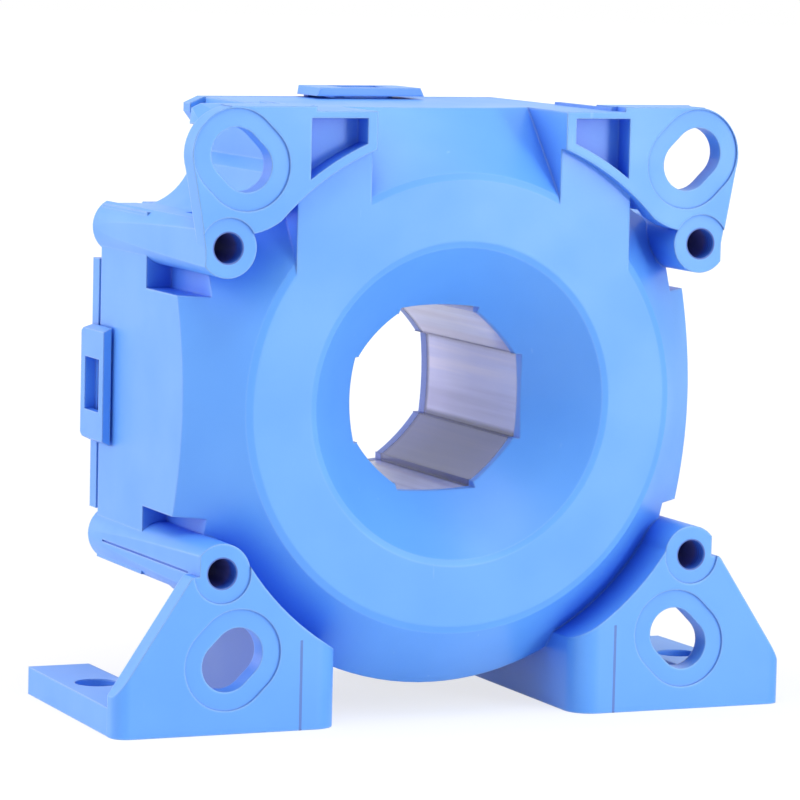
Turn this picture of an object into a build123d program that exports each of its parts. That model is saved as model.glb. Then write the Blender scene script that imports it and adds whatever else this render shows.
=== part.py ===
# Ring-type closed-loop current transformer: a blue drum with a funnel-shaped window for a bus bar,
# slotted ears at the top, slotted feet at the bottom and four screw columns through its depth.
# Everything is drawn about the window's axis (X right, Y from the front plane backwards, Z up) and
# moved at the end so that the feet stand on Z = 0 and the depth is centred on Y = 0.
from build123d import *
import math
import os

# overall
AXIS_HEIGHT = 65.0          # window axis above the feet
TOTAL_DEPTH = 66.0          # front plane of the ears to the back of the cover
COVER_T = 3.8
COVER_FACE = TOTAL_DEPTH - COVER_T
SEAM_GAP = 1.2              # shadow gap between drum wall and cover
BODY_END = COVER_FACE - SEAM_GAP
WALL = 2.5

# drum, shoulder and funnel
RING_FACE = 2.4             # ring face behind the ears' front plane
RING_R = 46.7               # flat ring face, outer radius
FUNNEL_R = 32.4             # funnel mouth radius, 45 degree funnel and 45 degree shoulder
DRUM_R = 59.3
SIDE_X = 57.0               # flat sides of the drum
PAD_TOP = 21.8              # flat side pads, from PAD_LOW to PAD_TOP
PAD_LOW = -23.1
GROOVE_X = 51.5             # floor of the grooves beside the pads
GROOVE_END = 34.2
CORNER_Z = 37.3             # filled corners behind the grooves, half height
NUT_ROOM_R = 13.4           # clearance behind each upper slot, cut into drum and columns
COVER_ROOM_R = 15.6
TOWER_X = 34.2              # top tower, half width
TOWER_Z = 59.7

# screw columns
COLUMN_X = 52.5
COLUMN_Z = 32.5
COLUMN_R = 6.05
COLUMN_END = COVER_FACE + 0.3
COLUMN_SIDE = 57.3          # side flat of the columns at the front, drafting outwards to the back
COLUMN_SIDE_END = 58.6
SCREW_HOLE_R = 3.05

# ears and feet
PLATE_T = 5.0
EAR_TOP = 60.65
FLANGE_END = 11.6           # depth of the flange and corner behind the ear plates
CORNER_LOW = 56.7           # underside of that corner, above what the slot looks through
SLOT_AT = 50.0              # slot centres at +-50, +-50
SLOT_W = 10.6
SLOT_L = 14.0
SEAT_GROW = 3.75            # shallow seat round each slot
SEAT_DEPTH = 0.4
LOBE_R = 14.9
EAR_CORNER_R = 9.75
EAR_SIDE_TOP = 60.5
BAND_R = 56.1               # inner face of the round band that carries ears and feet
BAND_T = 1.9
BLOCK_X = 37.0              # blocks beside the top recess
RECESS_X = 21.0
FOOT_IN = 26.5
FOOT_OUT = 74.8
FOOT_DEPTH = BODY_END - 5.5
FOOT_CORNER_R = 5.2
FOOT_EDGE_R = 3.2           # rounding of the feet's outer front edge
FOOT_TAPER = 1.0            # the strips draw in by this much towards the back
LEG_IN = 35.2               # inner face of the hollow leg behind each foot plate
LEG_T = 2.4
STRIP_IN = 59.9             # base strip, from here to FOOT_OUT
STRIP_T = 5.8
BASE_HOLE_X = 66.8
BASE_HOLE_R = 4.5

# rear cover and its loops
TAB_TOP = 25.6              # side tabs of the cover plate
TAB_LOW = -27.2
LOOP_T = 1.8
LOOP_GAP = 0.6
LOOP_HALF = 12.4
LOOP_BEVEL = 0.9
LOOP_START = COVER_FACE - 9.7
LOOP_DROP = -0.55           # the side loops sit a little below the window axis
WINDOW_HALF = 5.55
WINDOW_START = LOOP_START + 2.5
WINDOW_END = TOTAL_DEPTH - 2.5
RIM_T = 2.0
RIM_START = COVER_FACE - 4.2

# window profile: four faces square to the axes and four on the diagonals
FACE_DIST = 18.8
FACE_HALF = 8.8
DIAG_HALF = 6.1
FACE_BULGE = 0.5
LINER_T = 1.0
LIP_T = 1.2                 # the housing's edge in front of the liner
LINER_START = RING_FACE + FUNNEL_R - FACE_DIST + LIP_T
LINER_END = COVER_FACE + 0.8
COLLAR_R = 23.3
COLLAR_END = LINER_START + 1.3

# core, case and coils
CORE_IN = 31.0
CORE_OUT = 43.0
CORE_START = COLLAR_END + 7.5
CORE_END = COVER_FACE - 16.2
AIR_GAP = 2.0
CASE_T = 1.5
COIL_T = 4.5
COIL_SWEEP = 72.0
FLANGE_T = 1.5
RING_SIDES = 32             # hidden rings are drawn with this many flats
SMALL_SIDES = 12
SENSOR_START = CORE_START + 7.5
SENSOR_H = 4.0
LEAD_R = 0.5
LEAD_AT = 45.0              # leads leave the coils at this distance from the axis
POST_R = 2.6
POST_SCREW_R = 0.9

# board and what is on it
BOARD_FACE = COVER_FACE - 7.6
BOARD_T = 1.6
BOARD_R = 53.0
BOARD_HOLE_R = 24.5
HEADER_X = 14.0
HEADER_Z = 50.0
HEADER_H = 9.0
PIN_PITCH = 5.08
PIN_W = 1.0
SPREADER_OUT = 53.0
SPREADER_IN = 26.5
SPREADER_SIDE = 12.0        # drop of the spreader's upper edges at its reach
SPREADER_REACH = 75.0
TRANSISTOR_X = 33.0
TRANSISTOR_Z = -22.0
TRANSISTOR_HALF = 5.0
TRANSISTOR_H = 4.5
CAN_X = 25.8
CAN_Z = 51.2
CAN_R = 4.0
CAN_LENGTH = 12.0


def place(shape):
    return Pos(0, -TOTAL_DEPTH / 2, AXIS_HEIGHT) * shape


def box(x0, x1, y0, y1, z0, z1):
    return Pos((x0 + x1) / 2, (y0 + y1) / 2, (z0 + z1) / 2) * Box(x1 - x0, y1 - y0, z1 - z0)


def rod(radius, y0, y1, x=0.0, z=0.0):
    return Pos(x, (y0 + y1) / 2, z) * Rot(90, 0, 0) * Cylinder(radius, y1 - y0)


def prism(face, y0, y1):
    # face is drawn in X and Z; it is pushed from y0 to y1
    flat = Pos(0, y1, 0) * Rot(90, 0, 0) * face
    return extrude(flat, amount=y1 - y0, dir=(0, -1, 0))


def polygon(*points):
    return make_face(Polyline(*points, close=True))


def tube(outer, inner, y0, y1):
    # hidden ring with flats instead of a round: the two radii are to the flats
    face = RegularPolygon(outer, RING_SIDES, major_radius=False)
    return prism(face - RegularPolygon(inner, RING_SIDES, major_radius=False), y0, y1)


def bar(radius, y0, y1, x=0.0, z=0.0):
    # hidden small round with flats, the radius is to its corners
    return prism(Pos(x, z) * RegularPolygon(radius, SMALL_SIDES), y0, y1)


def frustum(r0, y0, r1, y1, to_flats):
    # hidden cone with flats, from radius r0 at depth y0 to r1 at y1
    grow = 1 / math.cos(math.pi / RING_SIDES) if to_flats else 1.0
    turns = [2 * math.pi * step / RING_SIDES for step in range(RING_SIDES)]
    near = [(r0 * grow * math.cos(turn), y0, r0 * grow * math.sin(turn)) for turn in turns]
    far = [(r1 * grow * math.cos(turn), y1, r1 * grow * math.sin(turn)) for turn in turns]
    sides = [(near[k - 1], near[k], far[k], far[k - 1]) for k in range(RING_SIDES)]
    return Solid(Shell([Face(Wire.make_polygon(corners)) for corners in sides + [near, far]]))


def wheel(*points):
    # points are (radius, depth), turned about the window axis
    return revolve(polygon(*points), Axis.Y)


def both_sides(shape):
    return shape + mirror(shape, about=Plane.YZ)


def turned(shape, degrees):
    # turned about the window axis, 0 to the right and 90 to the top
    return Rot(0, -degrees, 0) * shape


def disc(radius, x=0.0, z=0.0):
    return Pos(x, z) * Circle(radius)


def slab(x0, x1, z0, z1):
    return Pos((x0 + x1) / 2, (z0 + z1) / 2) * Rectangle(x1 - x0, z1 - z0)


def slot_shape(grow=0.0):
    # slot along the diagonal that points at the window axis
    return Pos(SLOT_AT, SLOT_AT) * Rot(0, 0, 45) * SlotOverall(SLOT_L + 2 * grow, SLOT_W + 2 * grow)


def lobe(half, dist, bulge, degrees):
    if bulge == 0:
        return Rot(0, 0, degrees) * slab(0, dist, -half, half)
    edge = Line((dist, half), (0, half)) + Line((0, half), (0, -half)) + Line((0, -half), (dist, -half))
    front = ThreePointArc((dist, -half), (dist + bulge, 0), (dist, half))
    return Rot(0, 0, degrees) * make_face(edge + front)


def window_profile(grow=0.0):
    # the window itself has bulged faces, what is grown from it for the liner's outside has flat ones
    dist, bulge = (FACE_DIST, FACE_BULGE) if grow == 0 else (FACE_DIST + FACE_BULGE + grow, 0)
    shape = lobe(FACE_HALF + grow, dist, bulge, 0)
    for step in range(1, 8):
        half = FACE_HALF if step % 2 == 0 else DIAG_HALF
        shape = shape + lobe(half + grow, dist, bulge, 45 * step)
    return shape


def funnel_void():
    # 45 degree funnel from its mouth to well behind the window edge, with a softened mouth
    soft = 0.9
    tip = RING_FACE + FUNNEL_R
    return wheel((0, -1), (FUNNEL_R + soft, -1), (FUNNEL_R + soft, RING_FACE),
                 (FUNNEL_R - 0.4, RING_FACE + 0.4), (0, tip))


def shoulder_solid():
    # everything behind the ring face and its 45 degree shoulder, which runs on outwards
    far = 95.0
    soft = 1.0
    return wheel((0, RING_FACE), (RING_R - soft, RING_FACE), (RING_R + 0.5, RING_FACE + 0.5),
                 (far, RING_FACE + far - RING_R), (far, BODY_END), (0, BODY_END))


def drum_outline():
    round_part = disc(DRUM_R) & slab(-SIDE_X, SIDE_X, -70, 70)
    pads = slab(-SIDE_X, SIDE_X, PAD_LOW, PAD_TOP)
    return round_part + pads + slab(-TOWER_X, TOWER_X, 0, TOWER_Z)


def drum():
    body = prism(drum_outline(), 0, BODY_END)
    body = body + prism(slab(-SIDE_X, SIDE_X, -CORNER_Z, CORNER_Z), GROOVE_END, BODY_END)
    body = body & shoulder_solid()
    groove = box(GROOVE_X, 70, -1, GROOVE_END, PAD_TOP, COLUMN_Z + 1)
    groove = groove + box(GROOVE_X, 70, -1, GROOVE_END, -COLUMN_Z - 1, PAD_LOW)
    return body - both_sides(groove)


def columns():
    shape = None
    for x in (-COLUMN_X, COLUMN_X):
        for z in (-COLUMN_Z, COLUMN_Z):
            column = rod(COLUMN_R, 0, COLUMN_END, x, z)
            shape = column if shape is None else shape + column
    flats = polygon((-COLUMN_SIDE, 0), (COLUMN_SIDE, 0), (COLUMN_SIDE_END, COLUMN_END),
                    (-COLUMN_SIDE_END, COLUMN_END))
    shape = shape & Pos(0, 0, -80) * extrude(flats, amount=160)
    return shape - both_sides(seam())


def nut_room(radius, top):
    # round clearance behind an upper slot, never deeper than the flat top of the columns
    return rod(radius, PLATE_T, TOTAL_DEPTH + 1, SLOT_AT, SLOT_AT) & box(0, 80, 0, 80, CORNER_Z, top)


def seam():
    # thin moulding seam along the outer side of the lower columns
    lean = (COLUMN_SIDE_END - COLUMN_SIDE) / COLUMN_END
    y0, y1 = 6.5, BODY_END - 7.0
    near = COLUMN_SIDE + lean * y0 - 0.35
    far = min(COLUMN_SIDE + lean * y1, COLUMN_X + COLUMN_R) - 0.35
    line = polygon((near, y0), (near + 3, y0), (far + 3, y1), (far, y1))
    return Pos(0, 0, -33.1) * extrude(line, amount=0.4)


def ear_plate():
    lobe_part = disc(LOBE_R, SLOT_AT, SLOT_AT) & slab(30, 52.5, 30, EAR_TOP)
    root = slab(TOWER_X, 50.8, 42, EAR_TOP)
    outer = polygon((50.0, COLUMN_Z), (SIDE_X + 0.3, COLUMN_Z), (EAR_SIDE_TOP, 50.2), (50.8, 51.0))
    corner = disc(EAR_CORNER_R, 50.8, 50.9)
    return lobe_part + root + outer + corner - disc(BAND_R)


def ear_box():
    # behind the plate the rounded corner runs out into a square one, and a top flange stiffens it
    x1, z1 = SIDE_X + 0.3, EAR_TOP
    near = polygon((45, 40), (45, z1), (50.8, z1), (54.5, 59.7), (57.3, 57.4), (59.5, 54.6), (60.4, 50.9), (x1 + 1.9, 42))
    far = polygon((45, 40), (45, z1), (53.6, z1), (54.6, z1), (56.6, 59.7), (56.6, 58.9), (56.7, 57.9), (57.0, 42))
    near_wire = Pos(0, PLATE_T, 0) * Rot(90, 0, 0) * near
    far_wire = Pos(0, FLANGE_END, 0) * Rot(90, 0, 0) * far
    corner = loft([near_wire, far_wire], ruled=True)
    flange = box(TOWER_X - 1, 52, PLATE_T - 1, FLANGE_END, 45, z1)
    hollow = box(TOWER_X + 2, 51.5, PLATE_T, FLANGE_END + 1, 30, z1 - 2.2)
    return corner + flange - hollow - box(30, 70, PLATE_T, FLANGE_END + 1, 30, CORNER_LOW)


def band(x_low, x_high, level, depth):
    ring = disc(BAND_R + BAND_T) - disc(BAND_R)
    z0, z1 = (0, 70) if level > 0 else (-70, 0)
    return prism(ring & slab(x_low, x_high, z0, z1), 0, depth)


def upper_block():
    # block beside the top recess, the band above it and the open pocket between band and ear
    block = disc(BAND_R) - disc(RING_R - 2)
    block = block & slab(RECESS_X, BLOCK_X, 0, 70)
    shape = prism(block, RING_FACE, 24)
    shape = shape + band(RECESS_X, 40.0, 1, 24)
    shape = shape + box(RECESS_X, RECESS_X + 2.1, 0, 24, 52, TOWER_Z)
    shape = shape + box(RECESS_X, TOWER_X + 1.2, 0, 24, TOWER_Z - 1.4, TOWER_Z)
    floor = slab(RECESS_X, TOWER_X, 40, TOWER_Z) - disc(BAND_R)
    rail = box(TOWER_X - 1.2, TOWER_X, 4, 31, TOWER_Z - 0.5, TOWER_Z + 0.6)
    side = slab(TOWER_X - 0.5, TOWER_X + 2.2, 40, TOWER_Z) - disc(BAND_R)
    return shape + prism(floor, PLATE_T + 0.1, 24) + prism(side, PLATE_T + 0.1, FLANGE_END) + rail


def ear():
    plate = prism(ear_plate(), 0, PLATE_T)
    pocket = slab(RECESS_X + 2.1, TOWER_X + 1.1, 40, TOWER_Z - 1.4) - disc(BAND_R + BAND_T)
    shape = plate + upper_block() + ear_box()
    shape = shape - prism(pocket, -1, PLATE_T + 0.1)
    shape = shape - prism(slot_shape(), -1, PLATE_T + 1)
    return shape - prism(slot_shape(SEAT_GROW), -1, SEAT_DEPTH)


def foot_plate():
    z_base = -AXIS_HEIGHT
    outline = polygon((FOOT_IN, z_base), (FOOT_OUT, z_base), (FOOT_OUT, -56.7), (59.4, -33.5), (58.9, -33.0),
                      (SIDE_X - 2, -33.0), (46.4, -32.5), (FOOT_IN, -40))
    return outline - disc(BAND_R)


def foot():
    z_base = -AXIS_HEIGHT
    plate = prism(foot_plate(), 0, PLATE_T)
    plan = slab(FOOT_IN, FOOT_IN + 12, -20, FOOT_CORNER_R * 2) - slab(FOOT_IN, FOOT_IN + FOOT_CORNER_R, 0, FOOT_CORNER_R)
    round_corner = Pos(FOOT_IN + FOOT_CORNER_R, FOOT_CORNER_R, 0) * Cylinder(FOOT_CORNER_R, 80)
    square = box(FOOT_IN - 1, FOOT_IN + FOOT_CORNER_R, -1, FOOT_CORNER_R, z_base - 1, 0)
    trim = square - Pos(0, 0, -35) * round_corner
    wall = box(FOOT_IN, FOOT_IN + 3.2, 0, FOOT_DEPTH, z_base, -50.0)
    inner = box(FOOT_IN + 3.2, FOOT_IN + FOOT_CORNER_R + 3, PLATE_T, FOOT_CORNER_R + 1.5, z_base, -50.0)
    leg = box(LEG_IN - LEG_T, LEG_IN, PLATE_T - 1, FOOT_DEPTH, z_base, -46.4)
    leg = leg + box(FOOT_IN + 1, LEG_IN - 1, FOOT_DEPTH - LEG_T, FOOT_DEPTH, z_base, -50.0)
    plan_strip = polygon((STRIP_IN, 0), (FOOT_OUT, 0), (FOOT_OUT - FOOT_TAPER, FOOT_DEPTH),
                         (STRIP_IN + FOOT_TAPER / 2, FOOT_DEPTH))
    strip = Pos(0, 0, z_base) * extrude(plan_strip, amount=STRIP_T)
    collar = prism((disc(BAND_R + BAND_T) - disc(BAND_R)) & slab(FOOT_IN, 52, -70, -31), 0, 24)
    edge = box(FOOT_OUT - FOOT_EDGE_R, FOOT_OUT + 1, -1, FOOT_EDGE_R, z_base - 1, 0)
    edge = edge - Pos(FOOT_OUT - FOOT_EDGE_R, FOOT_EDGE_R, -35) * Cylinder(FOOT_EDGE_R, 80)
    shape = plate + wall + leg + inner + strip + collar - trim - edge
    shape = shape - prism(mirror(slot_shape(), about=Plane.XZ), -1, PLATE_T + 1)
    shape = shape - prism(mirror(slot_shape(SEAT_GROW), about=Plane.XZ), -1, SEAT_DEPTH)
    hole_at = Pos(BASE_HOLE_X, TOTAL_DEPTH / 2, z_base + STRIP_T / 2)
    return shape - hole_at * Cylinder(BASE_HOLE_R, STRIP_T + 2)


def cavity():
    drop = WALL * math.sqrt(2)
    face = RING_FACE + WALL
    shift = RING_R - RING_FACE - drop
    funnel = FUNNEL_R + RING_FACE + drop
    inner_r = DRUM_R - WALL
    room = frustum(shift + face, face, inner_r, inner_r - shift, False)
    room = room + prism(RegularPolygon(inner_r, RING_SIDES), inner_r - shift, BODY_END + 1)
    room = room - frustum(funnel - face, face, COLLAR_R, funnel - COLLAR_R, True)
    room = room - prism(RegularPolygon(COLLAR_R, RING_SIDES, major_radius=False), face, COLLAR_END)
    room = room & box(-SIDE_X + WALL, SIDE_X - WALL, -1, 80, -80, 80)
    beside_groove = box(GROOVE_X - WALL, 70, -1, GROOVE_END + WALL, PAD_TOP - WALL, COLUMN_Z + 1)
    beside_groove = beside_groove + box(GROOVE_X - WALL, 70, -1, GROOVE_END + WALL, -COLUMN_Z - 1, PAD_LOW + WALL)
    behind_slot = rod(NUT_ROOM_R + WALL, 0, BODY_END + 2, SLOT_AT, SLOT_AT) & box(35, 80, 0, 80, 30, 80)
    room = room - both_sides(beside_groove) - both_sides(behind_slot)
    return room + box(-TOWER_X + WALL, TOWER_X - WALL, 24, BODY_END + 1, 30, TOWER_Z - WALL)


def support_ribs():
    rib = box(34, 46, RING_FACE + 1, 20, -6.2, 6.2)
    shape = rib
    for step in range(1, 4):
        shape = shape + turned(rib, 90 * step)
    return shape


def hook():
    # wedge that snaps into the window of a latch loop, on the right side wall
    y0, y1 = WINDOW_START + 0.3, BODY_END - 0.8
    profile = polygon((SIDE_X - 1, y0), (SIDE_X + 1.2, y0), (SIDE_X + 1.2, y0 + 1.2), (SIDE_X + 0.3, y1),
                      (SIDE_X - 1, y1))
    return Pos(0, 0, -WINDOW_HALF + 0.4) * extrude(profile, amount=2 * WINDOW_HALF - 0.8)


def four_round(shape):
    # right, left, top and bottom copies of something drawn on the right side wall
    side = Pos(0, 0, LOOP_DROP) * shape
    top = Pos(0, 0, TOWER_Z - SIDE_X) * turned(shape, 90)
    bottom = Pos(0, 0, SIDE_X - DRUM_R) * turned(shape, 270)
    return [side, mirror(side, about=Plane.YZ), top, bottom]


def boss_seats():
    shape = None
    for x in (-COLUMN_X, COLUMN_X):
        for z in (-COLUMN_Z, COLUMN_Z):
            seat = rod(COLUMN_R, -1, SEAT_DEPTH, x, z)
            shape = seat if shape is None else shape + seat
    return shape


def screw_bores():
    shape = None
    for x in (-COLUMN_X, COLUMN_X):
        for z in (-COLUMN_Z, COLUMN_Z):
            bore = rod(SCREW_HOLE_R, -2, COLUMN_END + 2, x, z)
            shape = bore if shape is None else shape + bore
    return shape


def front_housing():
    shape = drum() + columns() - both_sides(nut_room(NUT_ROOM_R, 70)) + both_sides(ear()) + both_sides(foot())
    shape = shape - cavity() + support_ribs()
    for piece in four_round(hook()):
        shape = shape + piece
    shape = shape - funnel_void() - prism(window_profile(), 5, 30)
    shape = shape - prism(window_profile(LINER_T), LINER_START, 30)
    return shape - boss_seats() - screw_bores()


def latch_loop():
    # flat loop with bevelled ends; its rear corners are cut off
    inner = SIDE_X + LOOP_GAP
    outer = inner + LOOP_T
    section = polygon((inner, -LOOP_HALF), (outer, LOOP_BEVEL - LOOP_HALF), (outer, LOOP_HALF - LOOP_BEVEL),
                      (inner, LOOP_HALF))
    plate = prism(section, LOOP_START, TOTAL_DEPTH)
    plate = plate - box(inner - 1, outer + 1, WINDOW_START, WINDOW_END, -WINDOW_HALF, WINDOW_HALF)
    corner = polygon((TOTAL_DEPTH - 2.6, LOOP_HALF), (TOTAL_DEPTH, LOOP_HALF - 1.6), (TOTAL_DEPTH + 2, LOOP_HALF),
                     (TOTAL_DEPTH, LOOP_HALF + 2))
    cut = Pos(inner - 1, 0, 0) * extrude(Plane.YZ * corner, amount=LOOP_T + 2)
    plate = plate - cut - mirror(cut, about=Plane.XY)
    root = box(SIDE_X - 3, inner + 1, WINDOW_END, TOTAL_DEPTH, -LOOP_HALF + 2.6, LOOP_HALF - 2.6)
    return plate + root


def rear_cover():
    lip = polygon((-TOWER_X, TOWER_Z), (TOWER_X, TOWER_Z), (37.3, 58.3), (37.3, 56.5), (TOWER_X, 52.5),
                  (-TOWER_X, 52.5), (-37.3, 56.5), (-37.3, 58.3))
    outline = drum_outline() + slab(-SIDE_X, SIDE_X, TAB_LOW, TAB_TOP) + lip
    plate = prism(outline, COVER_FACE, TOTAL_DEPTH) - both_sides(nut_room(COVER_ROOM_R, 52))
    rim = RegularPolygon(DRUM_R - WALL, RING_SIDES) & slab(-SIDE_X + WALL, SIDE_X - WALL, -70, 70)
    inner = RegularPolygon(DRUM_R - WALL - RIM_T, RING_SIDES) & slab(-SIDE_X + WALL + RIM_T, SIDE_X - WALL - RIM_T, -70, 70)
    rim = rim - inner - slab(-TOWER_X, TOWER_X, 30, 70)
    rim = rim - disc(NUT_ROOM_R + WALL, SLOT_AT, SLOT_AT) - disc(NUT_ROOM_R + WALL, -SLOT_AT, SLOT_AT)
    shape = plate + prism(rim, RIM_START, COVER_FACE)
    for x in (-COLUMN_X, COLUMN_X):
        for z in (-COLUMN_Z, COLUMN_Z):
            shape = shape - rod(COLUMN_R + 0.45, COVER_FACE - 1, TOTAL_DEPTH + 1, x, z)
    for piece in four_round(latch_loop()):
        shape = shape + piece
    shape = shape - prism(window_profile(), COVER_FACE - 5, TOTAL_DEPTH + 1)
    shape = shape - prism(window_profile(LINER_T), COVER_FACE - 5, LINER_END)
    return shape - box(-HEADER_X - 0.3, HEADER_X + 0.3, COVER_FACE - 1, TOTAL_DEPTH + 1,
                       HEADER_Z - HEADER_H / 2 - 0.3, HEADER_Z + HEADER_H / 2 + 0.3)


def aperture_liner():
    return prism(window_profile(LINER_T) - window_profile(), LINER_START, LINER_END)


def magnetic_core():
    ring = tube(CORE_OUT, CORE_IN, CORE_START, CORE_END)
    return ring - box(-AIR_GAP / 2, AIR_GAP / 2, 0, 80, 0, 60)


def sensor_room():
    mid = (CORE_IN + CORE_OUT) / 2
    return box(-0.8, 0.8, SENSOR_START, CORE_END + 20, mid - 2.6, mid + 2.6)


def gap_carrier():
    block = tube(CORE_OUT, CORE_IN, CORE_START, CORE_END) & box(-AIR_GAP / 2, AIR_GAP / 2, 0, 80, 0, 60)
    return block - sensor_room()


def hall_sensor():
    mid = (CORE_IN + CORE_OUT) / 2
    shape = box(-0.8, 0.8, SENSOR_START, SENSOR_START + SENSOR_H, mid - 2.3, mid + 2.3)
    for step in range(4):
        z = mid + (step - 1.5) * 1.27
        shape = shape + box(-0.2, 0.2, SENSOR_START + SENSOR_H - 0.1, BOARD_FACE, z - 0.2, z + 0.2)
    return shape


def case_solid():
    shell = tube(CORE_OUT + CASE_T, CORE_IN - CASE_T, CORE_START - CASE_T, CORE_END + CASE_T)
    disc_shape = tube(CORE_OUT + CASE_T + COIL_T, CORE_IN - CASE_T - COIL_T, CORE_START - CASE_T - COIL_T,
                      CORE_END + CASE_T + COIL_T)
    half_gap = (90 - COIL_SWEEP) / 2
    for step in range(4):
        for side in (-1, 1):
            offset = side * (half_gap - 1.0)
            plate = box(20, 60, 0, 80, -FLANGE_T / 2, FLANGE_T / 2)
            flange = turned(plate, 90 * step + offset)
            shell = shell + (disc_shape & flange)
    return shell - tube(CORE_OUT, CORE_IN, CORE_START, CORE_END)


def core_case(front):
    middle = (CORE_START + CORE_END) / 2
    y0, y1 = (0, middle) if front else (middle, 80)
    shape = case_solid() & box(-80, 80, y0, y1, -80, 80)
    if not front:
        shape = shape - sensor_room()
        post = bar(POST_R, CORE_END + CASE_T, BOARD_FACE, (CORE_IN + CORE_OUT) / 2, 0)
        screw = bar(POST_SCREW_R, BOARD_FACE - 5, BOARD_FACE + 1, (CORE_IN + CORE_OUT) / 2, 0)
        for angle in (0, 180, 270):
            shape = shape + turned(post, angle) - turned(screw, angle)
    return shape


def secondary_coil(step):
    body = tube(CORE_OUT + CASE_T + COIL_T, CORE_IN - CASE_T - COIL_T, CORE_START - CASE_T - COIL_T,
                CORE_END + CASE_T + COIL_T)
    body = body - tube(CORE_OUT + CASE_T, CORE_IN - CASE_T, CORE_START - CASE_T, CORE_END + CASE_T)
    reach = 70.0
    half = math.radians((90 - (90 - COIL_SWEEP) + 2.0) / 2)
    inset = FLANGE_T / 2
    # wedge between the two flanges, drawn about the diagonal
    tip = inset / math.sin(half)
    wedge = polygon((tip, 0), (tip + reach * math.cos(half), reach * math.sin(half)),
                    (tip + reach * math.cos(half), -reach * math.sin(half)))
    cut = prism(Rot(0, 0, 45 + 90 * step) * wedge, 0, 80)
    return body & cut


def coil_leads():
    shape = None
    start = CORE_END + CASE_T + COIL_T
    for step in range(4):
        for side in (-1, 1):
            lead = turned(bar(LEAD_R, start, BOARD_FACE, LEAD_AT, 0), 45 + 90 * step + side * 24)
            shape = lead if shape is None else shape + lead
    return shape


def circuit_board():
    outline = RegularPolygon(BOARD_R, RING_SIDES) - RegularPolygon(BOARD_HOLE_R, RING_SIDES)
    outline = outline + slab(-TOWER_X + WALL + 0.8, TOWER_X - WALL - 0.8, 40, TOWER_Z - WALL - 0.8)
    shape = prism(outline, BOARD_FACE, BOARD_FACE + BOARD_T)
    for step in range(4):
        x = (step - 1.5) * PIN_PITCH
        shape = shape - box(x - PIN_W / 2, x + PIN_W / 2, BOARD_FACE - 1, BOARD_FACE + BOARD_T + 1,
                            HEADER_Z - PIN_W / 2, HEADER_Z + PIN_W / 2)
    screw = bar(1.6, BOARD_FACE - 1, BOARD_FACE + 3, (CORE_IN + CORE_OUT) / 2, 0)
    for angle in (0, 180, 270):
        shape = shape - turned(screw, angle)
    return shape


def board_screws():
    top = BOARD_FACE + BOARD_T
    at = (CORE_IN + CORE_OUT) / 2
    screw = bar(POST_SCREW_R, BOARD_FACE - 4.5, top + 0.5, at, 0) + bar(2.2, top, top + 1.6, at, 0)
    screw = screw - box(at - 1.5, at + 1.5, top + 0.9, top + 2, -0.25, 0.25)
    shape = turned(screw, 0)
    for angle in (180, 270):
        shape = shape + turned(screw, angle)
    return shape


def output_transistors():
    top = BOARD_FACE + BOARD_T
    body = box(-TRANSISTOR_HALF, TRANSISTOR_HALF, top, top + TRANSISTOR_H, -9.0, 0)
    tab = box(-TRANSISTOR_HALF, TRANSISTOR_HALF, top + 3.2, top + TRANSISTOR_H, 0, 6.2) - bar(1.8, top, top + 6, 0, 3.2)
    legs = box(-2.9, -2.2, top, top + 1.6, -13, -9) + box(-0.35, 0.35, top, top + 1.6, -13, -9)
    legs = legs + box(2.2, 2.9, top, top + 1.6, -13, -9)
    one = body + tab + legs
    return Pos(-TRANSISTOR_X, 0, TRANSISTOR_Z) * one + Pos(TRANSISTOR_X, 0, TRANSISTOR_Z) * one


def heat_spreader():
    y0 = BOARD_FACE + BOARD_T + TRANSISTOR_H
    far, low = SPREADER_REACH, -SPREADER_SIDE
    sector = polygon((0, -1.0), (-far, low), (-far, -far), (far, -far), (far, low))
    face = (RegularPolygon(SPREADER_OUT, RING_SIDES) - RegularPolygon(SPREADER_IN, RING_SIDES)) & sector
    return prism(face, y0, COVER_FACE)


def amplifier_chip():
    top = BOARD_FACE + BOARD_T
    shape = box(-38.9, -31.1, top + 0.15, top + 2.5, 14, 24.4)
    for step in range(8):
        z = 19.2 + (step - 3.5) * 1.27
        shape = shape + box(-40.4, -29.6, top, top + 0.5, z - 0.22, z + 0.22)
    return shape


def filter_capacitors():
    can = prism(Pos(CAN_X, CAN_Z) * RegularPolygon(CAN_R, 2 * SMALL_SIDES), BOARD_FACE - CAN_LENGTH, BOARD_FACE)
    return both_sides(can)


def chip_resistors():
    top = BOARD_FACE + BOARD_T
    shape = None
    for step in range(8):
        x = 30.0 + 5.0 * (step % 4)
        z = 13.0 + 5.0 * (step // 4)
        chip = box(x, x + 1.6, top, top + 0.6, z, z + 3.2)
        shape = chip if shape is None else shape + chip
    return shape


def clamp_diodes():
    top = BOARD_FACE + BOARD_T
    one = box(22, 26.6, top + 0.1, top + 2.3, 33, 35.6) + box(21.2, 27.4, top, top + 0.4, 33.5, 35.1)
    return one + Pos(0, 0, -4.2) * one


def terminal_header():
    y0 = BOARD_FACE + BOARD_T
    z0, z1 = HEADER_Z - HEADER_H / 2, HEADER_Z + HEADER_H / 2
    shape = box(-HEADER_X, HEADER_X, y0, TOTAL_DEPTH, z0, z1)
    shape = shape - box(-HEADER_X + 1.2, HEADER_X - 1.2, y0 + 2.2, TOTAL_DEPTH + 1, z0 + 1.2, z1 - 1.2)
    shape = shape - box(-4, 4, TOTAL_DEPTH - 5, TOTAL_DEPTH + 1, z1 - 1.6, z1 + 1)
    for step in range(4):
        x = (step - 1.5) * PIN_PITCH
        shape = shape - box(x - PIN_W / 2, x + PIN_W / 2, y0 - 1, y0 + 4, HEADER_Z - PIN_W / 2, HEADER_Z + PIN_W / 2)
    return shape


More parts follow.
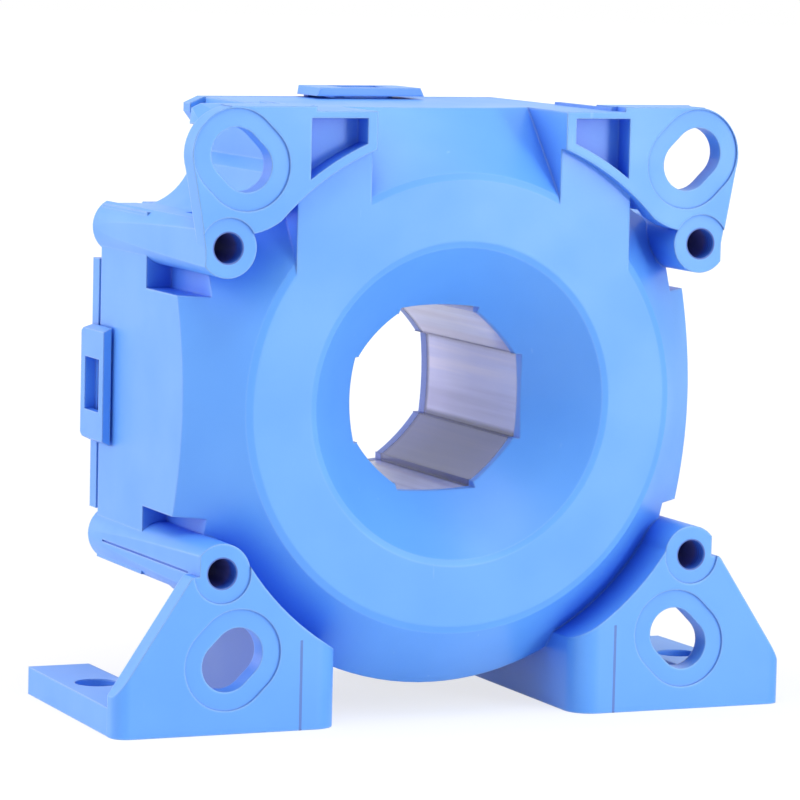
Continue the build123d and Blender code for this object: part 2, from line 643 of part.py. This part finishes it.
def terminal_pins():
    shape = None
    for step in range(4):
        x = (step - 1.5) * PIN_PITCH
        pin = box(x - PIN_W / 2, x + PIN_W / 2, BOARD_FACE - 1.4, TOTAL_DEPTH - 1.5, HEADER_Z - PIN_W / 2,
                  HEADER_Z + PIN_W / 2)
        shape = pin if shape is None else shape + pin
    return shape


pieces = {
    "front_housing": front_housing(),
    "rear_cover": rear_cover(),
    "aperture_liner": aperture_liner(),
    "magnetic_core": magnetic_core(),
    "gap_carrier": gap_carrier(),
    "hall_sensor": hall_sensor(),
    "core_case_front": core_case(True),
    "core_case_rear": core_case(False),
    "coil_leads": coil_leads(),
    "circuit_board": circuit_board(),
    "board_screws": board_screws(),
    "output_transistors": output_transistors(),
    "heat_spreader": heat_spreader(),
    "amplifier_chip": amplifier_chip(),
    "filter_capacitors": filter_capacitors(),
    "chip_resistors": chip_resistors(),
    "clamp_diodes": clamp_diodes(),
    "terminal_header": terminal_header(),
    "terminal_pins": terminal_pins(),
}
for quarter in range(4):
    pieces["secondary_coil_" + str(quarter + 1)] = secondary_coil(quarter)

os.makedirs("parts", exist_ok=True)
for name, shape in pieces.items():
    export_step(place(shape), "parts/" + name + ".step")
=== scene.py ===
import math

import bpy
import numpy as np
from mathutils import Matrix, Vector


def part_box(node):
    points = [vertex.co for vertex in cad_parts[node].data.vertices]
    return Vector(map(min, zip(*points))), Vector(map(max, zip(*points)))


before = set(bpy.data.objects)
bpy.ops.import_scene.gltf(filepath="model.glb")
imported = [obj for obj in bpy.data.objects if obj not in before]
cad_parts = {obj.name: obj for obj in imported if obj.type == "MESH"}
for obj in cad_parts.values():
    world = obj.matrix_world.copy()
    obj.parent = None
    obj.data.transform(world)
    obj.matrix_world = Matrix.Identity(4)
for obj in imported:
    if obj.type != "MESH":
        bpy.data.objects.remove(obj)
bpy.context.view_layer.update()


# ---------------------------------------------------------------- front housing
# The front housing is one blue injection moulding: ring face, funnel, drum, four screw columns,
# two slotted ears and two slotted feet. Its corners are softened by the mould, and a fine spark
# grain covers every face, with scattered scuffs of wear. Its outer edges are painted paler, a
# painted highlight with some real rubbing from hands and packing, and its gaps and corners are
# painted darker, as painted shade.
AXIS_HEIGHT = 0.065      # the window's axis runs along Y, this high above the feet
COLUMN_X = 0.0525        # the screw columns' centre lines, to each side of the window's axis
COLUMN_Z = 0.0325        # and above and below it
COLUMN_MOUTH = -0.0325   # where the thread in the columns begins
BORE_R = 0.00325         # a little wider than the bores, to take in their walls
THREAD_PITCH = 0.0008
LIT_THREAD = 0.0025      # depth of thread that the light reaches
THREAD_FADE = 0.002      # and over which it goes dark
LEG_FACE = 0.0352        # inner face of each hollow leg, from the middle
LEG_FACE_REACH = 0.0003
LEG_TOP = 0.0184


def put(tree, kind, **values):
    """Adds one shader node. Each value names one of its own settings, or else an input socket,
    with _ for a space."""
    node = tree.nodes.new(kind)
    for key, value in values.items():
        if hasattr(node, key):
            setattr(node, key, value)
        else:
            node.inputs[key.replace("_", " ")].default_value = value
    return node


def feed(tree, socket, value):
    """Gives an input socket what it takes: a link from another socket, or a plain value."""
    if isinstance(value, bpy.types.NodeSocket):
        tree.links.new(value, socket)
    else:
        socket.default_value = value


def worked(tree, operation, *takes, **settings):
    """One step of arithmetic on sockets and plain numbers, in the order that the node has them."""
    node = put(tree, "ShaderNodeMath", operation=operation, **settings)
    for socket, value in zip(node.inputs, takes):
        feed(tree, socket, value)
    return node.outputs["Value"]


def worked_vector(tree, operation, *takes):
    """One step on vectors. A length, a distance or a dot product gives a number."""
    node = put(tree, "ShaderNodeVectorMath", operation=operation)
    for socket, value in zip(node.inputs, takes):
        feed(tree, socket, value)
    gives_number = operation in ("LENGTH", "DISTANCE", "DOT_PRODUCT")
    return node.outputs["Value" if gives_number else "Vector"]


def place_on(tree):
    """The shaded point in the object's own frame, which is the frame of the whole part."""
    return put(tree, "ShaderNodeTexCoord").outputs["Object"]


def split(tree, vector):
    """The parts "X", "Y" and "Z" of a vector."""
    node = put(tree, "ShaderNodeSeparateXYZ")
    tree.links.new(vector, node.inputs[0])
    return node.outputs


def drawn_noise(tree, stretch, turn=(0.0, 0.0, 0.0), **noise):
    """Noise from 0 to 1, turned by turn and drawn out along each axis whose stretch is under 1."""
    way = put(tree, "ShaderNodeMapping", Rotation=turn, Scale=stretch)
    tree.links.new(place_on(tree), way.inputs["Vector"])
    texture = put(tree, "ShaderNodeTexNoise", **noise)
    tree.links.new(way.outputs["Vector"], texture.inputs["Vector"])
    return texture.outputs["Fac"]


def effect(name, takes, gives):
    """An empty node group with named sockets: takes lists (name, kind, value) and gives lists
    (name, kind). Comes back with the sockets to read from and the sockets to feed."""
    group = bpy.data.node_groups.new(name, "ShaderNodeTree")
    for title, kind, value in takes:
        socket = group.interface.new_socket(name=title, in_out="INPUT", socket_type=kind)
        socket.default_value = value
    for title, kind in gives:
        group.interface.new_socket(name=title, in_out="OUTPUT", socket_type=kind)
    start = group.nodes.new("NodeGroupInput")
    end = group.nodes.new("NodeGroupOutput")
    return group, start.outputs, end.inputs


def soft_corner_group():
    """Soft corner: the face direction rounded over Radius at each corner, and Corner, which is
    0 on a flat face and rises to 1 where the rounded direction leaves the flat one."""
    group, takes, gives = effect(
        "soft_corner",
        [("Radius", "NodeSocketFloat", 0.0006), ("Gain", "NodeSocketFloat", 6.0)],
        [("Normal", "NodeSocketVector"), ("Corner", "NodeSocketFloat")])
    bevel = put(group, "ShaderNodeBevel", samples=6)
    feed(group, bevel.inputs["Radius"], takes["Radius"])
    rounded = bevel.outputs["Normal"]
    flat = put(group, "ShaderNodeNewGeometry").outputs["Normal"]
    likeness = worked_vector(group, "DOT_PRODUCT", rounded, flat)
    departure = worked(group, "SUBTRACT", 1.0, likeness)
    feed(group, gives["Normal"], rounded)
    feed(group, gives["Corner"],
         worked(group, "MULTIPLY", departure, takes["Gain"], use_clamp=True))
    return group


def shelter_group():
    """Shelter: Open is the share of the sky that a face sees within Reach: 1 on an open face,
    towards 0 deep in a gap or a corner."""
    group, takes, gives = effect(
        "shelter", [("Reach", "NodeSocketFloat", 0.012)], [("Open", "NodeSocketFloat")])
    sky = put(group, "ShaderNodeAmbientOcclusion", samples=3, only_local=True)
    feed(group, sky.inputs["Distance"], takes["Reach"])
    feed(group, gives["Open"], sky.outputs["AO"])
    return group


def mould_grain_group():
    """Mould grain: a spark-eroded skin. Height is fine noise at Fineness per metre plus Waviness
    times a slow noise; Mottle is the slow noise alone, for colour and gloss."""
    group, takes, gives = effect(
        "mould_grain",
        [("Fineness", "NodeSocketFloat", 2600.0), ("Waviness", "NodeSocketFloat", 0.35)],
        [("Height", "NodeSocketFloat"), ("Mottle", "NodeSocketFloat")])
    place = place_on(group)
    fine = put(group, "ShaderNodeTexNoise", Detail=2.0, Roughness=0.6)
    slow = put(group, "ShaderNodeTexNoise", Scale=46.0, Detail=3.0, Roughness=0.5)
    feed(group, fine.inputs["Vector"], place)
    feed(group, slow.inputs["Vector"], place)
    feed(group, fine.inputs["Scale"], takes["Fineness"])
    mottle = slow.outputs["Fac"]
    feed(group, gives["Height"],
         worked(group, "MULTIPLY_ADD", mottle, takes["Waviness"], fine.outputs["Fac"]))
    feed(group, gives["Mottle"], mottle)
    return group


def scuff_group():
    """Scuffs: sparse short rubs. Mask is 1 in the peaks of a noise drawn out along one axis,
    above Threshold, and 0 elsewhere."""
    edge_sharpness = 14.0
    group, takes, gives = effect(
        "scuffs", [("Threshold", "NodeSocketFloat", 0.735)], [("Mask", "NodeSocketFloat")])
    rubs = drawn_noise(group, stretch=(1.0, 1.0, 0.12), turn=(0.4, 0.2, 0.7),
                       Scale=420.0, Detail=2.0, Roughness=0.6)
    above = worked(group, "SUBTRACT", rubs, takes["Threshold"])
    feed(group, gives["Mask"],
         worked(group, "MULTIPLY", above, edge_sharpness, use_clamp=True))
    return group


soft_corner = soft_corner_group()
mould_grain = mould_grain_group()
shelter = shelter_group()
scuffs = scuff_group()


def placed(tree, group, **values):
    """The outputs of one use of a shared effect, with its own values."""
    node = tree.nodes.new("ShaderNodeGroup")
    node.node_tree = group
    for key, value in values.items():
        node.inputs[key].default_value = value
    return node.outputs


def finish_of(name, roughness, metallic=0.0, specular=0.5):
    """An empty material, its node tree and its Principled shader, ready for the finish."""
    material = bpy.data.materials.new(name)
    material.use_nodes = True
    skin = material.node_tree.nodes["Principled BSDF"]
    skin.inputs["Roughness"].default_value = roughness
    skin.inputs["Metallic"].default_value = metallic
    skin.inputs["Specular IOR Level"].default_value = specular
    return material, material.node_tree, skin


def linear(red, green, blue):
    """A colour as a picture gives it, 0 to 255, as the light that the shader works with."""
    part = np.array((red, green, blue)) / 255.0
    light = np.where(part <= 0.04045, part / 12.92, ((part + 0.055) / 1.055) ** 2.4)
    return tuple(float(value) for value in light)


def ranged(tree, value, low, high, to_low=0.0, to_high=1.0):
    """The value socket taken from low..high to to_low..to_high, held at its ends."""
    node = put(tree, "ShaderNodeMapRange",
               From_Min=low, From_Max=high, To_Min=to_low, To_Max=to_high)
    tree.links.new(value, node.inputs["Value"])
    return node.outputs["Result"]


def blended(tree, low, high, factor):
    """A colour between low and high by the factor socket; either colour may be a socket."""
    mix = put(tree, "ShaderNodeMix", data_type="RGBA")
    for socket, colour in ((mix.inputs["A"], low), (mix.inputs["B"], high)):
        if not isinstance(colour, bpy.types.NodeSocket):
            colour = (*colour, 1.0)
        feed(tree, socket, colour)
    tree.links.new(factor, mix.inputs["Factor"])
    return mix.outputs["Result"]


def stained(tree, colour, stain, where, strength):
    """The colour turned to stain as far as where, a socket from 0 to 1, times strength."""
    return blended(tree, colour, stain, ranged(tree, where, 0.0, 1.0, to_high=strength))


def colour_of(skin):
    """The colour socket that feeds a skin so far."""
    return skin.inputs["Base Color"].links[0].from_socket


def lift(tree, skin, height, strength, distance, normal=None):
    """Lifts the skin by the height socket, on top of the normal socket where one is given."""
    bump = put(tree, "ShaderNodeBump", Strength=strength, Distance=distance)
    tree.links.new(height, bump.inputs["Height"])
    if normal is not None:
        tree.links.new(normal, bump.inputs["Normal"])
    tree.links.new(bump.outputs["Normal"], skin.inputs["Normal"])


def moulded(name, deep, face, highlight_and_wear, roughness,
            corner=0.0007, grain=0.00003, painted_shade=None, specular=0.5):
    """Moulded plastic: the face colour drifts towards deep with the slow mottle, and towards the
    pale edge colour at the outer corners, as a painted highlight, and in the scuffs, which are
    wear.
    Where a shade colour is given, sheltered gaps and corners drift towards it as painted shade.
    The grain and the soft corners lie in its normal."""
    material, tree, skin = finish_of(name, roughness, specular=specular)
    edges = placed(tree, soft_corner, Radius=corner)
    spark = placed(tree, mould_grain)
    colour = blended(tree, deep, face, ranged(tree, spark["Mottle"], 0.3, 0.62))
    highlight_rim = edges["Corner"]
    # Painted shade: sheltered gaps and corners turn towards the given shade colour, and the painted
    # highlight is kept off corners that lie in shade.
    if painted_shade is not None:
        open_sky = placed(tree, shelter)["Open"]
        colour = blended(tree, painted_shade, colour, ranged(tree, open_sky, 0.1, 0.75))
        highlight_rim = worked(tree, "MULTIPLY", highlight_rim, ranged(tree, open_sky, 0.8, 1.0))
    # Painted highlight: the outer corners turn pale, and the scuffs take the same pale colour as
    # wear.
    colour = stained(tree, colour, highlight_and_wear, highlight_rim, 0.7)
    colour = stained(tree, colour, highlight_and_wear, placed(tree, scuffs)["Mask"], 0.3)
    tree.links.new(colour, skin.inputs["Base Color"])
    gloss = ranged(tree, spark["Mottle"], 0.3, 0.7, roughness + 0.05, roughness - 0.05)
    tree.links.new(gloss, skin.inputs["Roughness"])
    lift(tree, skin, spark["Height"], 0.35, grain, normal=edges["Normal"])
    return material, tree, skin


def bores_of(tree, colour, centres, groove_shade, dark):
    """Tapped bores along Y: within BORE_R of a centre line the colour turns darker once every turn
    of the thread, as a sine of the depth, a painted shade of the thread's grooves, and turns dark
    where the light ends, as painted shade further in."""
    place = place_on(tree)
    depth = split(tree, place)["Y"]
    turns = worked(tree, "SINE", worked(tree, "MULTIPLY", depth, 2 * math.pi / THREAD_PITCH))
    wall = blended(tree, colour, groove_shade, ranged(tree, turns, -0.2, 1.0, to_high=0.7))
    lit_end = COLUMN_MOUTH + LIT_THREAD
    wall = blended(tree, wall, dark, ranged(tree, depth, lit_end, lit_end + THREAD_FADE))
    across = worked_vector(tree, "MULTIPLY", place, (1.0, 0.0, 1.0))
    for x, z in centres:
        away = worked_vector(tree, "DISTANCE", across, (x, 0.0, z))
        inside = ranged(tree, away, BORE_R, BORE_R + 0.00015, 1.0, 0.0)
        colour = blended(tree, colour, wall, inside)
    return colour


housing_blue, tree, skin = moulded(
    "blue_housing", deep=linear(94, 164, 247), face=linear(100, 170, 250),
    highlight_and_wear=linear(176, 216, 255), painted_shade=linear(44, 104, 224), roughness=0.40)
columns = [(x, AXIS_HEIGHT + z) for x in (-COLUMN_X, COLUMN_X) for z in (-COLUMN_Z, COLUMN_Z)]
colour = bores_of(tree, colour_of(skin), columns,
                  groove_shade=linear(60, 66, 170), dark=linear(116, 118, 182))

# Painted shade: the inner faces of the hollow legs, behind the lower slots, are coloured darker and
# a little greyer.
place = split(tree, place_on(tree))
on_leg_face = worked(tree, "COMPARE", worked(tree, "ABSOLUTE", place["X"]),
                     LEG_FACE, LEG_FACE_REACH)
shaded_leg_face = worked(tree, "MULTIPLY", on_leg_face,
                    worked(tree, "LESS_THAN", place["Z"], LEG_TOP))
colour = stained(tree, colour, linear(86, 118, 190), shaded_leg_face, 0.85)
tree.links.new(colour, skin.inputs["Base Color"])


def dress(node, material):
    """Gives a CAD node's object its finish."""
    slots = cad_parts[node].data.materials
    slots.clear()
    slots.append(material)


dress("front_housing", housing_blue)


# ------------------------------------------------------------------- rear cover
# The rear cover is a second moulding of the same blue, pushed on from behind. Its four latch loops
# snap over hooks of the housing and stay open round them. It came from another mould, so its blue
# is a shade deeper and its skin a little glossier.
WINDOW_WALL_R = 0.0208       # the wall of the cover's window lies within this radius
WINDOW_WALL_END = 0.0327     # and ends just before the cover's back
FADE_R, FADE_END = 0.0006, 0.00025


def from_axis(tree):
    """The vector from the window's axis straight out to the shaded point."""
    return worked_vector(tree, "MULTIPLY_ADD", place_on(tree),
                         (1.0, 0.0, 1.0), (0.0, 0.0, -AXIS_HEIGHT))


cover_blue, tree, skin = moulded(
    "blue_cover", deep=linear(90, 160, 246), face=linear(96, 166, 249),
    highlight_and_wear=linear(172, 212, 255), painted_shade=linear(42, 100, 220), roughness=0.36, corner=0.0005)
radius = worked_vector(tree, "LENGTH", from_axis(tree))
depth = split(tree, place_on(tree))["Y"]
# Painted shade: the wall of the cover's window is coloured a darker greyish blue up to just before
# the cover's back.
shaded_window_wall = ranged(tree, radius, WINDOW_WALL_R, WINDOW_WALL_R + FADE_R, 1.0, 0.0)
before_back = ranged(tree, depth, WINDOW_WALL_END, WINDOW_WALL_END + FADE_END, 1.0, 0.0)
colour = stained(tree, colour_of(skin), linear(96, 116, 190),
                 worked(tree, "MULTIPLY", shaded_window_wall, before_back), 0.85)
tree.links.new(colour, skin.inputs["Base Color"])
dress("rear_cover", cover_blue)


# -------------------------------------------------------------- aperture liner
# The aperture liner is a light grey eight-sided plastic tube that lines the window from the funnel
# to the back. It was drawn off its core lengthwise, so fine streaks run along it, with a film of
# pale brown dust in places. Its lower right face, its inner corners and its rear end are painted
# darker, as painted shade.
LENGTHWISE = (1.0, 0.03, 1.0)     # stretch of a pattern that runs along Y
REAR_SHADOW_START = 0.0284                 # where the painted shadow at the liner's rear end begins

liner_grey, tree, skin = moulded(
    "grey_liner", deep=linear(196, 204, 244), face=linear(206, 213, 248),
    highlight_and_wear=linear(224, 228, 250), roughness=0.18, corner=0.0002, grain=0.000005, specular=0.8)
streaks = drawn_noise(tree, LENGTHWISE, Scale=230.0, Detail=3.0, Roughness=0.55)
dust = drawn_noise(tree, LENGTHWISE, Scale=70.0, Detail=2.0, Roughness=0.5)
# Painted shade: the face that looks up and to the lower right turns dark.
shaded_face_way = (math.sqrt(0.5), 0.0, -math.sqrt(0.5))
outward = worked_vector(tree, "NORMALIZE", from_axis(tree))
shaded_face = worked_vector(tree, "DOT_PRODUCT", outward, shaded_face_way)
in_the_open = placed(tree, shelter, Reach=0.0012)["Open"]
depth = split(tree, place_on(tree))["Y"]

colour = colour_of(skin)
for tint, pattern, none_at, full_at, strength in (
        (linear(152, 154, 200), streaks, 0.46, 0.72, 0.6),       # dark streaks
        (linear(236, 234, 250), streaks, 0.44, 0.30, 0.6),       # light streaks
        (linear(222, 188, 190), dust, 0.56, 0.72, 0.55),
        (linear(74, 90, 152), shaded_face, 0.915, 0.932, 0.9)):       # painted shade on the lower right face
    where = ranged(tree, pattern, none_at, full_at, to_high=strength)
    colour = blended(tree, colour, tint, where)
# Painted shade in the liner's inner corners.
colour = blended(tree, linear(48, 56, 110), colour, ranged(tree, in_the_open, 0.45, 0.85))
# Painted shadow where the liner's rear end meets the cover.
colour = blended(tree, colour, linear(62, 76, 140),
                 ranged(tree, depth, REAR_SHADOW_START, REAR_SHADOW_START + 0.001, to_high=0.9))
tree.links.new(colour, skin.inputs["Base Color"])
dress("aperture_liner", liner_grey)


# -------------------------------------------------- core, gap carrier and sensor
# The magnetic core is a ring wound from thin steel strip, sawn open at the top. A plastic carrier
# holds the field sensor in the saw gap, its four tinned leads running back to the board.
def strip_wound_steel():
    """Wound strip: a ripple of the distance from the window's axis, one every 0.6 mm, lifts and
    darkens the end faces."""
    material, tree, skin = finish_of("strip_steel", 0.34, metallic=0.9)
    centred = put(tree, "ShaderNodeMapping", Location=(0.0, 0.0, -AXIS_HEIGHT))
    layers = put(tree, "ShaderNodeTexWave", wave_type="RINGS", rings_direction="Y",
                 Scale=520.0, Distortion=0.4, Detail=2.0)
    tree.links.new(place_on(tree), centred.inputs["Vector"])
    tree.links.new(centred.outputs["Vector"], layers.inputs["Vector"])
    ripple = layers.outputs["Fac"]
    tree.links.new(blended(tree, linear(118, 116, 114), linear(168, 166, 162), ripple),
                   skin.inputs["Base Color"])
    lift(tree, skin, ripple, 0.4, 0.00005)
    return material


dress("magnetic_core", strip_wound_steel())
dress("gap_carrier", moulded(
    "ivory_carrier", deep=linear(196, 190, 170), face=linear(212, 206, 188),
    highlight_and_wear=linear(226, 222, 208), roughness=0.5, corner=0.0002)[0])

BODY_SHARE = 0.35            # share of the sensor's depth that its black body takes
sensor_black, tree, skin = moulded(
    "sensor_epoxy", deep=linear(30, 30, 32), face=linear(40, 40, 42),
    highlight_and_wear=linear(70, 70, 72), roughness=0.5, corner=0.0002)
sensor_low, sensor_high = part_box("hall_sensor")
body_end = sensor_low.y + BODY_SHARE * (sensor_high.y - sensor_low.y)
lead = ranged(tree, split(tree, place_on(tree))["Y"], body_end, body_end + 0.0002)
tree.links.new(blended(tree, colour_of(skin), linear(196, 196, 192), lead),
               skin.inputs["Base Color"])
tree.links.new(lead, skin.inputs["Metallic"])
tree.links.new(ranged(tree, lead, 0.0, 1.0, 0.5, 0.3), skin.inputs["Roughness"])
dress("hall_sensor", sensor_black)


# ------------------------------------------------------------------- core case
# The core case is two thin white nylon shells that meet halfway along the core and keep the
# winding off the steel. Their flanges part the four coils.
case_white = moulded(
    "nylon_case", deep=linear(214, 212, 200), face=linear(226, 224, 214),
    highlight_and_wear=linear(240, 238, 230), roughness=0.48, corner=0.0003)[0]
dress("core_case_front", case_white)
dress("core_case_rear", case_white)


# -------------------------------------------------------------- secondary coils
# Four coils of enamelled copper wire are wound through the ring, one on each quarter, in tight
# side-by-side turns. Their ends run back to the board as one group of leads.
def wound_copper():
    """Turns: the sine of the angle about the window's axis, times half the turns in a full round,
    without its sign, so that rounded ridges run the short way round the ring."""
    turns_in_a_round = 840
    material, tree, skin = finish_of("enamelled_copper", 0.28, metallic=0.85)
    skin.inputs["Coat Weight"].default_value = 0.6
    skin.inputs["Coat Roughness"].default_value = 0.15
    place = split(tree, place_on(tree))
    height = worked(tree, "SUBTRACT", place["Z"], AXIS_HEIGHT)
    angle = worked(tree, "ARCTAN2", height, place["X"])
    wave = worked(tree, "SINE", worked(tree, "MULTIPLY", angle, turns_in_a_round / 2))
    ridge = worked(tree, "ABSOLUTE", wave)
    # Painted shade and highlight: the colour darkens in the grooves between the turns and pales on
    # their crests.
    tree.links.new(blended(tree, linear(104, 44, 22), linear(196, 104, 60), ridge),
                   skin.inputs["Base Color"])
    lift(tree, skin, ridge, 0.8, 0.00015)
    return material


copper_turns = wound_copper()
for number in (1, 2, 3, 4):
    dress(f"secondary_coil_{number}", copper_turns)
dress("coil_leads", copper_turns)


# --------------------------------------------------------------- circuit board
# The amplifier board is a ring of green glass laminate held by three zinc-plated pan-head screws.
# It carries two output transistors on an aluminium heat spreader, the amplifier chip, two filter
# capacitors, and rows of chip resistors and clamp diodes.
def laminate():
    """Solder mask over copper tracks: a net of cell edges shows as slightly raised, paler lines."""
    material, tree, skin = finish_of("green_board", 0.35)
    tracks = put(tree, "ShaderNodeTexVoronoi", feature="DISTANCE_TO_EDGE",
                 distance="EUCLIDEAN", Scale=160.0, Randomness=0.6)
    tree.links.new(place_on(tree), tracks.inputs["Vector"])
    track = ranged(tree, tracks.outputs["Distance"], 0.05, 0.09, 1.0, 0.0)
    tree.links.new(blended(tree, linear(20, 92, 52), linear(52, 138, 84), track),
                   skin.inputs["Base Color"])
    lift(tree, skin, track, 0.5, 0.00004)
    return material


def brushed(name, dark, light, roughness, stretch):
    """Metal drawn one way: noise stretched by the given amounts along x, y and z shades and
    lifts it."""
    material, tree, skin = finish_of(name, roughness, metallic=1.0)
    lines = drawn_noise(tree, stretch, Scale=900.0, Detail=3.0, Roughness=0.6)
    tree.links.new(blended(tree, dark, light, lines), skin.inputs["Base Color"])
    lift(tree, skin, lines, 0.3, 0.00002)
    return material


dress("circuit_board", laminate())
dress("board_screws", brushed(
    "zinc_plate", dark=linear(150, 152, 158), light=linear(206, 208, 212),
    roughness=0.3, stretch=(1.0, 0.2, 1.0)))
dress("heat_spreader", brushed(
    "brushed_aluminium", dark=linear(172, 174, 178), light=linear(214, 216, 220),
    roughness=0.36, stretch=(0.05, 1.0, 1.0)))
dress("output_transistors", moulded(
    "transistor_epoxy", deep=linear(26, 26, 28), face=linear(38, 38, 40),
    highlight_and_wear=linear(64, 64, 66), roughness=0.45, corner=0.0002)[0])
dress("amplifier_chip", moulded(
    "chip_epoxy", deep=linear(24, 24, 26), face=linear(36, 36, 38),
    highlight_and_wear=linear(60, 60, 62), roughness=0.5, corner=0.00015)[0])
dress("chip_resistors", moulded(
    "resistor_glaze", deep=linear(20, 22, 26), face=linear(34, 36, 42),
    highlight_and_wear=linear(120, 122, 126), roughness=0.3, corner=0.0001)[0])
dress("clamp_diodes", moulded(
    "diode_epoxy", deep=linear(30, 28, 28), face=linear(44, 42, 42),
    highlight_and_wear=linear(90, 88, 88), roughness=0.45, corner=0.0001)[0])
dress("filter_capacitors", brushed(
    "capacitor_can", dark=linear(150, 152, 158), light=linear(204, 206, 212),
    roughness=0.28, stretch=(1.0, 0.1, 1.0)))


# ------------------------------------------------------------- terminal header
# The secondary connection is an upright header of natural nylon that stands on the board and looks
# out through the cover's window, with square tinned pins.
dress("terminal_header", moulded(
    "header_nylon", deep=linear(206, 204, 194), face=linear(222, 220, 210),
    highlight_and_wear=linear(238, 236, 228), roughness=0.42, corner=0.0003)[0])
dress("terminal_pins", brushed(
    "tinned_pin", dark=linear(170, 170, 168), light=linear(220, 220, 216),
    roughness=0.25, stretch=(1.0, 0.1, 1.0)))


# ------------------------------------------------------ floor, light and camera
# A plain pale table stands under a white cyclorama. Soft lamps light the part from the upper right
# front, low in front, the left, above and behind, and the camera is where the photograph was
# taken.
WHITE = (1.0, 1.0, 1.0, 1.0)
SKY_STRENGTH = 0.25          # what the cyclorama gives the object
TABLE_R = 6.0
TABLE_GLOW = 1.12
FADE_FROM, FADE_TO = 0.2, 0.8           # the table fades into the cyclorama between these
GLOW_NEAR, GLOW_FAR = 0.66, 1.0         # distances, from this share of its glow to this


def seen_directly(tree):
    """1 for camera, glossy and transmission rays, 0 for the light that falls on the object."""
    path = put(tree, "ShaderNodeLightPath").outputs
    seen = worked(tree, "MAXIMUM", path["Is Camera Ray"], path["Is Glossy Ray"])
    return worked(tree, "MAXIMUM", seen, path["Is Transmission Ray"])


def either(tree, first, second, share):
    """The second shader in place of the first, by the share socket."""
    mix = put(tree, "ShaderNodeMixShader")
    for socket, value in zip(mix.inputs, (share, first, second)):
        tree.links.new(value, socket)
    return mix.outputs[0]


world = bpy.data.worlds.new("cyclorama")
bpy.context.scene.world = world
world.use_nodes = True
sky = world.node_tree
lit = sky.nodes["Background"]
lit.inputs["Color"].default_value = (0.96, 0.97, 1.0, 1.0)
lit.inputs["Strength"].default_value = SKY_STRENGTH
shown = put(sky, "ShaderNodeBackground", Color=WHITE, Strength=1.0)
sky.links.new(either(sky, lit.outputs[0], shown.outputs[0], seen_directly(sky)),
              sky.nodes["World Output"].inputs["Surface"])


def round_table(radius, rings, spokes):
    """A flat disc: point (i, j) lies at radius * (i / rings) along spoke angle 2 pi j / spokes,
    at height 0, and a hub closes the middle."""
    r, t = np.meshgrid(np.linspace(0, radius, rings + 1)[1:],
                       np.linspace(0, 2 * np.pi, spokes, endpoint=False), indexing="ij")
    points = np.stack([r * np.cos(t), r * np.sin(t), np.zeros_like(r)], -1).reshape(-1, 3)
    points = np.vstack([points, (0.0, 0.0, 0.0)])
    i, j = np.meshgrid(np.arange(rings - 1), np.arange(spokes), indexing="ij")
    after = (j + 1) % spokes
    quads = np.stack([i * spokes + j, (i + 1) * spokes + j,
                      (i + 1) * spokes + after, i * spokes + after], -1).reshape(-1, 4)
    k = np.arange(spokes)
    hub = np.stack([k, (k + 1) % spokes, np.full(spokes, len(points) - 1)], -1)
    mesh = bpy.data.meshes.new("table")
    mesh.from_pydata(points.tolist(), [], quads.tolist() + hub.tolist())
    return mesh


table = bpy.data.objects.new("table", round_table(TABLE_R, rings=6, spokes=48))
bpy.context.scene.collection.objects.link(table)
pale, tree, skin = finish_of("pale_table", 0.9, specular=0.1)
skin.inputs["Base Color"].default_value = (0.92, 0.93, 0.94, 1.0)
glow = put(tree, "ShaderNodeEmission", Color=WHITE, Strength=TABLE_GLOW)
reach = worked_vector(tree, "LENGTH", place_on(tree))
share = worked(tree, "MULTIPLY", seen_directly(tree),
               ranged(tree, reach, FADE_FROM, FADE_TO, GLOW_NEAR, GLOW_FAR))
tree.links.new(either(tree, skin.outputs[0], glow.outputs[0], share),
               tree.nodes["Material Output"].inputs["Surface"])
table.data.materials.append(pale)

middle = Vector((0.0, 0.0, AXIS_HEIGHT))


def lamp(name, place, size, power, colour=(1.0, 1.0, 1.0)):
    """A square soft lamp at place, aimed at the middle of the part."""
    light = bpy.data.lights.new(name, "AREA")
    light.shape, light.size, light.energy, light.color = "SQUARE", size, power, colour
    holder = bpy.data.objects.new(name, light)
    bpy.context.scene.collection.objects.link(holder)
    turn = (Vector(place) - middle).to_track_quat("Z", "Y").to_matrix().to_4x4()
    holder.matrix_world = Matrix.Translation(place) @ turn


lamp("right_front", (0.74, -1.28, 0.76), size=0.9, power=5.6)
lamp("low_front", (0.60, -1.12, 0.14), size=0.25, power=4.2)
lamp("left_side", (-1.3, 0.25, 0.65), size=1.0, power=8.0, colour=(1.0, 0.84, 0.95))
lamp("above", (-0.05, -0.25, 1.40), size=1.1, power=11.5)
lamp("behind", (-1.20, 1.00, 0.42), size=1.2, power=9.0, colour=(1.0, 0.88, 0.96))

CAMERA_PLACE = (-0.3800, -0.8570, 0.1646)
YAW, PITCH, ROLL = (math.radians(turn) for turn in (-23.90, 6.21, 1.32))

camera = bpy.data.objects.new("camera", bpy.data.cameras.new("camera"))
bpy.context.scene.collection.objects.link(camera)
back = Vector((math.sin(YAW) * math.cos(PITCH), -math.cos(YAW) * math.cos(PITCH), math.sin(PITCH)))
level = Vector((math.cos(YAW), math.sin(YAW), 0.0))
upright = back.cross(level)
right = math.cos(ROLL) * level + math.sin(ROLL) * upright
top = math.cos(ROLL) * upright - math.sin(ROLL) * level
turned = Matrix((right, top, back)).transposed().to_4x4()
camera.matrix_world = Matrix.Translation(CAMERA_PLACE) @ turned
camera.data.sensor_width = 36.0
camera.data.lens = 202.3
camera.data.clip_start = 0.05
bpy.context.scene.camera = camera
bpy.context.scene.view_settings.view_transform = "Standard"
